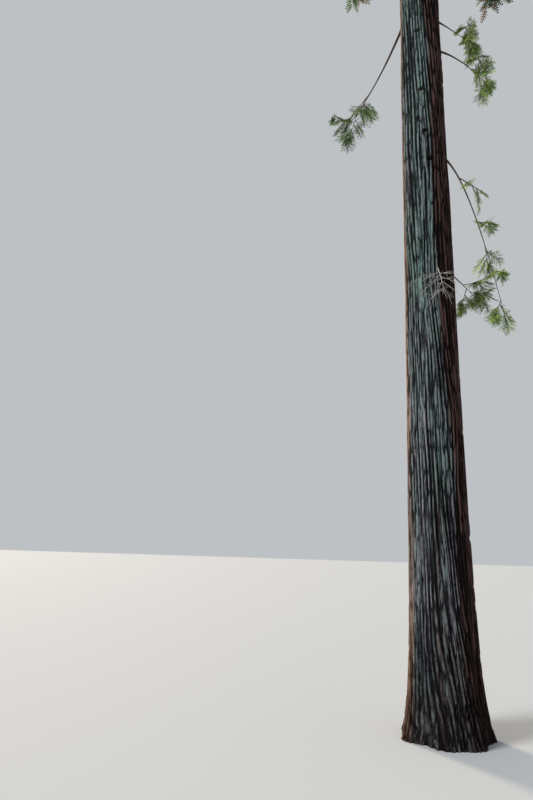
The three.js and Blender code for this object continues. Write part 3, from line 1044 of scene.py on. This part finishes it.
class Branchlet:
    """A branchlet in the outline of a spray, which leaves room for needles at its edge."""

    def __init__(self, spray, kind, rng):
        self.root, self.length = spray["root"], spray["length"]
        self.heading, self.aside = spray["heading"], spray["aside"]
        self.face = np.cross(self.aside, self.heading)
        self.hang = rng.uniform(*HANG_VARIES) * self.length
        self.core = max(CORE_LEAST, 1 - NEEDLE_ROOM * kind["length"] / self.length)
        self.thickness = RIB_LEAST + RIB_THICKNESS * self.length

    def place(self, along, across):
        """Points at shares along and across it, which hang more towards its edge."""
        along, across = self.core * along, self.core * across
        drop = self.hang * (along**2 + SIDE_HANG * (across / SPRAY_WIDTH) ** 2)
        ahead = self.heading * (along * self.length)[..., None]
        beside = self.aside * (across * self.length)[..., None]
        return self.root + ahead + beside - UP * drop[..., None]

    def rib(self, rng):
        share = np.linspace(0, 1, RIB_ROWS)
        sway = WIGGLE * np.sin(share * WIGGLE_TURN + rng.uniform(*WIGGLE_START))
        return self.place(share, sway)

    def twiglet(self, k, count, rng):
        start = between(*TWIGLET_PLACES, (k + rng.uniform(*TWIGLET_STEPS)) / count)
        end = start + rng.uniform(*TWIGLET_RUNS)
        reach = blade_half_width(min(end, TWIGLET_LAST)) * rng.uniform(*TWIGLET_REACH)
        side = 1 if k % 2 else -1
        share = np.linspace(0, 1, TWIGLET_ROWS)
        return self.place(between(start, end, share), side * reach * share**TWIGLET_BEND)


def add_branchlet(spray, kind, lots, tubes, feathers, rng):
    """A rib and side twiglets, with needle sprays along them all."""
    made = Branchlet(spray, kind, rng)
    rib = made.rib(rng)
    tubes.add(rib, np.linspace(made.thickness, RIB_TIP, RIB_ROWS), RIB_SIDES)
    grow(rib[1:], RIB_GROWN * made.length, made.face, kind, lots, feathers, rng)
    thickness = TWIGLET_THICKNESS * made.thickness + TWIGLET_LEAST
    for k in range(kind["twiglets"]):
        twiglet = made.twiglet(k, kind["twiglets"], rng)
        length = np.linalg.norm(twiglet[-1] - twiglet[0])
        tubes.add(twiglet, np.linspace(thickness, TWIGLET_TIP, TWIGLET_ROWS), TWIGLET_SIDES)
        grow(twiglet, length, made.face, kind, lots, feathers, rng)


def grow(line, length, face, kind, lots, feathers, rng):
    """Needle sprays that leave a line by turns to its two sides, and one at its end."""
    count = max(FEWEST_FEATHERS, int(length / kind["spacing"]))
    steps = np.linspace(FIRST_FEATHER, 1, count)
    places = np.linspace(0, 1, len(line))
    roots = np.stack([np.interp(steps, places, line[:, axis]) for axis in range(3)], axis=1)
    along = unit(line[-1] - line[0])
    across = unit(np.cross(face, along))
    turns = np.where(np.arange(count) % 2, 1.0, -1.0) * rng.uniform(*FEATHER_TURNS, count)
    turns[-1] *= END_TURN
    heads = along * np.cos(turns)[:, None] + across * np.sin(turns)[:, None]
    heads = unit(heads + rng.normal(0, HEAD_SCATTER, (count, 3)) - UP * HEAD_DROOP)
    sides = unit(np.cross(face + rng.normal(0, SIDE_SCATTER, (count, 3)), heads))
    lengths = kind["length"] * rng.uniform(*FEATHER_LENGTHS, count)
    widths = kind["width"] * rng.uniform(*FEATHER_WIDTHS, count)
    lot = lots[int(rng.integers(len(lots)))]
    feathers.add(lot, roots, heads, sides, lengths, widths)


def line_of(limb, first, last, rows):
    shares = np.linspace(first, last, rows)
    points = np.array([limb.at(share)[0] for share in shares])
    radii = np.array([limb.radius(share) for share in shares])
    return points, radii


def outer_arm(limb):
    """An arm that leaves a hanging limb near its foot and reaches further out."""
    root, _ = limb.at(ARM_SHARE)
    out = unit(limb.out - UP * ARM_STEEPNESS)
    return dict(root=root, out=out, length=ARM_LENGTH, radius=ARM_THICKNESS * limb.radius(ARM_SHARE))


def dead_arm(limb):
    """A longer dead twig that reaches aside from the dead limb, as far as there is room."""
    root, _ = limb.at(DEAD_ARM_SHARE)
    out = unit(sideways(limb.out) + DEAD_ARM_OUT * limb.out - DEAD_ARM_DOWN * UP)
    length = fitting(limb, DEAD_ARM_LENGTH, lambda tried: (root + out * tried)[None])
    return dict(root=root, out=out, length=length, radius=limb.radius(DEAD_ARM_SHARE))


def add_limb(limb, tubes, seed):
    """A limb's whole run, from inside the trunk to where it ends among its sprays."""
    level = limb.at(limb.stem_end)[1] @ limb.out
    points, radii = line_of(limb, 0, limb.stem_end + RUN_ON * level, LIMB_ROWS)
    tubes.add(points, radii * np.linspace(1, LIMB_END, LIMB_ROWS), LIMB_SIDES, LIMB_BUMPS, seed)


def add_twig(twig, tubes, droop=TWIG_DROOP):
    share = np.linspace(0, 1, TWIG_ROWS)
    points = twig["root"] + twig["out"] * (share * twig["length"])[:, None]
    points = points - UP * (droop * twig["length"] * share**2)[:, None]
    tubes.add(points, twig["radius"] * np.linspace(1, TWIG_END, TWIG_ROWS), TWIG_SIDES)


def node_material(name, roughness):
    material = bpy.data.materials.new(name)
    material.use_nodes = True
    shader = material.node_tree.nodes["Principled BSDF"]
    shader.inputs["Roughness"].default_value = roughness
    return material, material.node_tree, shader


def add_node(tree, kind, **settings):
    node = tree.nodes.new(kind)
    for key, value in settings.items():
        setattr(node, key, value)
    return node


def ramp(tree, factor, places, colours):
    """The colour of a number from 0 to 1 on a ramp that has a colour at each place."""
    node = add_node(tree, "ShaderNodeValToRGB")
    tree.links.new(factor, node.inputs["Fac"])
    stops = node.color_ramp.elements
    while len(stops) < len(places):
        stops.new(STOP_START)
    for stop, place, colour in zip(stops, places, colours):
        stop.position = place
        stop.color = (*colour, 1)
    return node.outputs["Color"]


def noise_texture(tree, stretch, detail, roughness):
    """Noise in the object's own coordinates, stretched."""
    place = add_node(tree, "ShaderNodeTexCoord")
    mapping = add_node(tree, "ShaderNodeMapping")
    mapping.inputs["Scale"].default_value = stretch
    tree.links.new(place.outputs["Object"], mapping.inputs["Vector"])
    node = add_node(tree, "ShaderNodeTexNoise")
    node.inputs["Scale"].default_value = 1
    node.inputs["Detail"].default_value = detail
    node.inputs["Roughness"].default_value = roughness
    tree.links.new(mapping.outputs["Vector"], node.inputs["Vector"])
    return node.outputs["Fac"]


def fill(tree, socket, value):
    """Links a node's output to a socket, or sets a number on it."""
    if isinstance(value, bpy.types.NodeSocket):
        tree.links.new(value, socket)
    else:
        socket.default_value = value


def mixed(tree, factor, a, b, blend="MIX"):
    node = add_node(tree, "ShaderNodeMix", data_type="RGBA", blend_type=blend)
    fill(tree, node.inputs["Factor"], factor)
    fill(tree, node.inputs[COLOUR_A], a)
    fill(tree, node.inputs[COLOUR_B], b)
    return node.outputs[MIXED_COLOUR]


def math_node(tree, operation, a, b):
    node = add_node(tree, "ShaderNodeMath", operation=operation)
    fill(tree, node.inputs[0], a)
    fill(tree, node.inputs[1], b)
    return node.outputs[0]


def scaled(tree, value, factor, shift):
    """A socket's number times a factor, plus a shift."""
    return math_node(tree, "ADD", math_node(tree, "MULTIPLY", value, factor), shift)


def attribute(tree, name):
    return add_node(tree, "ShaderNodeAttribute", attribute_name=name).outputs["Fac"]


def bump(tree, height, distance):
    node = add_node(tree, "ShaderNodeBump")
    node.inputs["Distance"].default_value = distance
    node.inputs["Strength"].default_value = BUMP_STRENGTH
    tree.links.new(height, node.inputs["Height"])
    return node.outputs["Normal"]


def limb_colour(tree, grain, colours):
    grained = math_node(tree, "MULTIPLY", grain, GRAIN_SHARE)
    patched = math_node(tree, "MULTIPLY", noise_texture(tree, **PATCHES), PATCHES_SHARE)
    level = math_node(tree, "ADD", grained, patched)
    return ramp(tree, level, NOISE_LEVELS, colours)


def lichen_colour(tree, level):
    """Grey lichen and green lichen in patches."""
    hue = scaled(tree, noise_texture(tree, **HUES), *HUE_LEVEL)
    grey = math_node(tree, "ADD", hue, attribute(tree, "grey"))
    green_lichen = ramp(tree, level, BARK_LEVELS, GREEN_LICHEN_COLOURS)
    grey_lichen = ramp(tree, level, BARK_LEVELS, GREY_LICHEN_COLOURS)
    return mixed(tree, grey, green_lichen, grey_lichen)


def old_bark_colour(tree, fibres, flakes):
    """The wood's colour by the bark's height, painted lighter as painted sunlight on the side the
    rim sun lights, with flakes of lichen and long streaks.
    """
    finer = scaled(tree, flakes, *FLAKE_LEVEL)
    rough = math_node(tree, "ADD", scaled(tree, fibres, *FIBRE_LEVEL), finer)
    # Low levels are the furrows, whose near-black colours hold painted shade besides the bark's own
    # darker furrows.
    level = math_node(tree, "ADD", attribute(tree, "crest"), rough)
    plain_wood = ramp(tree, level, BARK_LEVELS, WOOD_COLOURS)
    # Painted sunlight: a lighter copy of the wood's colours for the side the rim sun lights.
    painted_sun = ramp(tree, level, BARK_LEVELS, PAINTED_SUN_COLOURS)
    wood = mixed(tree, attribute(tree, "painted_sun"), plain_wood, painted_sun)
    flaked = scaled(tree, flakes, *FLAKE_COVER)
    cover = math_node(tree, "MULTIPLY", attribute(tree, "lichen"), flaked)
    colour = mixed(tree, math_node(tree, "MINIMUM", cover, 1), wood, lichen_colour(tree, level))
    streaks = ramp(tree, noise_texture(tree, **STREAKS), NOISE_LEVELS, STREAK_COLOURS)
    return mixed(tree, 1, colour, streaks, "MULTIPLY")


def bark_material():
    """Dark fibrous bark, grey-green where lichen covers it and red-brown elsewhere."""
    material, tree, shader = node_material("redwood_bark", BARK_ROUGHNESS)
    shader.inputs["Specular IOR Level"].default_value = BARK_SPECULAR
    fibres = noise_texture(tree, **FIBRES)
    flakes = noise_texture(tree, **FLAKES)
    old = old_bark_colour(tree, fibres, flakes)
    young = limb_colour(tree, noise_texture(tree, **GRAIN), LIMB_COLOURS)
    colour = mixed(tree, attribute(tree, "young"), old, young)
    tree.links.new(colour, shader.inputs["Base Color"])
    height = math_node(tree, "ADD", fibres, math_node(tree, "MULTIPLY", flakes, FLAKE_BUMP))
    tree.links.new(bump(tree, height, BARK_BUMP), shader.inputs["Normal"])
    return material


def limb_material(name, colours):
    material, tree, shader = node_material(name, LIMB_ROUGHNESS)
    grain = noise_texture(tree, **GRAIN)
    tree.links.new(limb_colour(tree, grain, colours), shader.inputs["Base Color"])
    tree.links.new(bump(tree, grain, LIMB_BUMP), shader.inputs["Normal"])
    return material


def needle_material(name, colour):
    material, _, shader = node_material(name, NEEDLE_ROUGHNESS)
    shader.inputs["Specular IOR Level"].default_value = NEEDLE_SPECULAR
    shader.inputs["Base Color"].default_value = (*colour, 1)
    return material


def add_mass(twigs, sprays, kind, lots, tubes, feathers, rng):
    for twig in twigs:
        add_twig(twig, tubes)
    for spray in sprays:
        add_branchlet(spray, kind, lots, tubes, feathers, rng)


def build_crown(tubes, twig_tubes, feathers):
    rng = np.random.default_rng(CROWN_DRAWS)
    for i in range(CROWN_LIMBS):
        limb = crown_limb(i)
        add_limb(limb, tubes, i)
        count = nearest(between(FEW_TWIGS, MANY_TWIGS, limb.length / CROWN_RADIUS))
        size = CROWN_SPRAY * limb.length + SPRAY_LEAST
        twigs, sprays = mass_of(limb, i, count, size)
        more_twigs, more_sprays = further_mass(limb, FURTHER_SEED + i, FURTHER_TWIGS, size)
        twigs, sprays = twigs + more_twigs, sprays + more_sprays
        add_mass(twigs, sprays, CROWN_NEEDLES, CROWN_LOTS, twig_tubes, feathers, rng)


def build_leader(tubes, twig_tubes, feathers):
    rng = np.random.default_rng(LEADER_DRAWS)
    leader = Leader()
    points, radii = line_of(leader, 0, LEADER_END, LEADER_ROWS)
    tubes.add(points, radii, LEADER_SIDES, LEADER_BUMPS, LEADER_BUMP_SEED)
    twigs, sprays = mass_of(leader, LEADER_SEED, LEADER_TWIGS, LEADER_SPRAY)
    sprays += further_sprays(leader, twigs, LEADER_SEED, LEADER_SPRAY)
    add_mass(twigs, sprays, LEADER_NEEDLES, CROWN_LOTS, twig_tubes, feathers, rng)


def build_low(tubes, twig_tubes, feathers):
    rng = np.random.default_rng(LOW_DRAWS)
    for i, sizes in enumerate(LOW_LIMBS):
        limb = low_limb(sizes, LOW_SECTOR, LOW_BARE, LOW_SPREAD)
        add_limb(limb, tubes, LOW_BUMP_SEED + i)
        twigs, sprays = mass_of(limb, LOW_SEED + i, LOW_TWIGS, LOW_SPRAY)
        if i == FORKED_LIMB:
            twigs.append(outer_arm(limb))
            sprays += sprays_of(limb, twigs[-1], LOW_SEED, LOW_SPRAY)
        sprays += further_sprays(limb, twigs, LOW_SEED + i, LOW_SPRAY)
        # The low bough on the left takes the painted shade lots, the others the painted backlight
        # lots.
        lots = SHADED_LOTS if i == 0 else BACKLIT_LOTS
        add_mass(twigs, sprays, LOW_NEEDLES, lots, twig_tubes, feathers, rng)


def build_dead(tubes):
    rng = np.random.default_rng(DEAD_DRAWS)
    limb = low_limb(DEAD_LIMB, DEAD_SECTOR, 0, DEAD_SPREAD)
    add_limb(limb, tubes, DEAD_BUMP_SEED)
    twigs, _ = mass_of(limb, DEAD_SEED, DEAD_TWIGS, 0)
    for twig in [*twigs, dead_arm(limb)]:
        add_twig(dict(twig, radius=DEAD_THICKNESS * twig["radius"]), tubes, DEAD_DROOP)
        for _ in range(FINE_TWIGS):
            root = twig["root"] + twig["out"] * twig["length"] * rng.uniform(*FINE_PLACES)
            out = unit(twig["out"] + rng.normal(0, FINE_SCATTER, 3) - UP * FINE_LEAN)
            length = twig["length"] * rng.uniform(*FINE_LENGTHS)
            fine = dict(root=root, out=out, length=length, radius=FINE_RADIUS)
            add_twig(fine, tubes, FINE_DROOP)


def dress(kind, twigs, feathers, masses, limb_bark, needles):
    """Twigs and needle sprays of one kind, in the place of its masses of foliage."""
    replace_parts(twigs.build(f"{kind}_twigs", limb_bark, "bough_bark"), *masses)
    for lot, material in enumerate(needles):
        if feathers.lots[lot]:
            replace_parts(feathers.build(lot, f"{kind}_{material.name}", material), *masses)


def build_tree():
    bark = bark_material()
    limb_bark = limb_material("bough_bark", LIMB_COLOURS)
    dead_wood = limb_material("dead_wood", DEAD_COLOURS)
    needles = [needle_material(name, colour) for name, colour in NEEDLE_COLOURS]
    build_trunk(bark)
    limbs, crown_twigs, low_twigs, dead = Tubes(), Tubes(), Tubes(), Tubes()
    crown = Feathers(feather_template(**CROWN_FEATHER), len(needles))
    low = Feathers(feather_template(**LOW_FEATHER), len(needles))
    build_crown(limbs, crown_twigs, crown)
    build_leader(limbs, crown_twigs, crown)
    build_low(limbs, low_twigs, low)
    build_dead(dead)
    nodes = list(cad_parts)
    boughs = [name for name in nodes if "bough" in name]
    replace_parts(limbs.build("boughs", limb_bark, "bough_bark"), *boughs)
    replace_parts(dead.build("dead_twig_tangle", dead_wood, "dead_wood"), "dead_twigs")
    crown_masses = [name for name in nodes if name.startswith("foliage") or name == "leader"]
    low_masses = [name for name in nodes if name.startswith("low_foliage")]
    dress("crown", crown_twigs, crown, crown_masses, limb_bark, needles)
    dress("low", low_twigs, low, low_masses, limb_bark, needles)


def build_stage():
    mesh = bpy.data.meshes.new("floor")
    low, high = -FLOOR_REACH, FLOOR_REACH
    corners = [(low, low, 0), (high, low, 0), (high, high, 0), (low, high, 0)]
    mesh.from_pydata(corners, [], [(0, 1, 2, 3)])
    material, _, shader = node_material("floor_paint", FLOOR_ROUGHNESS)
    shader.inputs["Base Color"].default_value = (*FLOOR_COLOUR, 1)
    mesh.materials.append(material)
    floor = new_object("floor", mesh)
    world = bpy.data.worlds.new("pale_sky")
    world.use_nodes = True
    background = world.node_tree.nodes["Background"]
    background.inputs["Color"].default_value = (*SKY_COLOUR, 1)
    background.inputs["Strength"].default_value = SKY_STRENGTH
    bpy.context.scene.world = world


def add_sun(name, towards, energy, angle, colour):
    light = bpy.data.lights.new(name, "SUN")
    light.energy = energy
    light.angle = math.radians(angle)
    light.color = colour
    made = new_object(name, light)
    made.rotation_euler = Vector(towards).to_track_quat("-Z", "Y").to_euler()


def build_light():
    for sun in SUNS:
        add_sun(**sun)


def build_camera():
    data = bpy.data.cameras.new("camera")
    data.lens = CAMERA_LENS
    data.sensor_width = CAMERA_SENSOR
    data.sensor_fit = "AUTO"
    data.clip_end = CAMERA_RANGE
    made = new_object("camera", data)
    tilt = Matrix.Rotation(math.pi / 2 + CAMERA_PITCH, 4, "X")
    roll = Matrix.Rotation(CAMERA_ROLL, 4, "Z")
    made.matrix_world = Matrix.Translation(CAMERA_PLACE) @ tilt @ roll
    bpy.context.scene.camera = made


build_tree()
build_stage()
build_light()
build_camera()
bpy.context.scene.view_settings.view_transform = "Standard"
